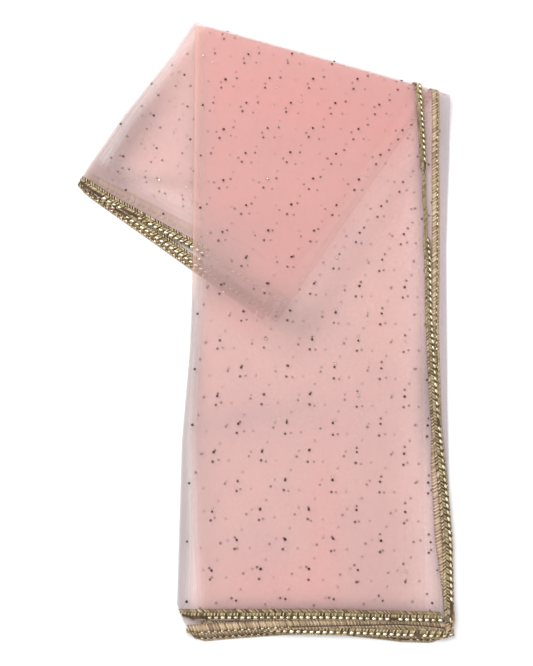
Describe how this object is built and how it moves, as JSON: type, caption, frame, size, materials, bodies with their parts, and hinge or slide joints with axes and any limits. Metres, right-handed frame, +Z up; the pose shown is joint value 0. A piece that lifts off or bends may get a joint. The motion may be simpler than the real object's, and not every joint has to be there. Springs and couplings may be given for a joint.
{
  "type": "folded net dupatta stole",
  "caption": "Long sheer net stole edged with braided foil-bead lace, folded into a layered strip and folded again on a slanting crease.",
  "frame": {"origin": "the middle of the folded stole's box, on the surface it lies on", "axes": "+Y along the front towards the slanting crease, +X towards the front's laced right-hand edge, +Z up out of the surface"},
  "size_m": [0.4396, 0.7192, 0.0111],
  "materials": {
    "net": "fine soft peach-pink net, sheer in one layer, with small foil dots",
    "lace": "braided antique-gold metallic cord with a row of bright foil beads"
  },
  "bodies": {
    "root": {"net_top_leaf": "net", "net_second_leaf": "net", "net_inner_leaves": "net", "net_under_leaf": "net", "lace_top_side": "lace", "lace_second_side": "lace", "lace_top_hem": "lace", "lace_second_hem": "lace", "lace_inner_hem": "lace", "lace_under_hem": "lace", "lace_top_tail": "lace", "lace_second_tail": "lace", "lace_inner_tail": "lace", "lace_under_tail": "lace"}
  },
  "joints": []
}
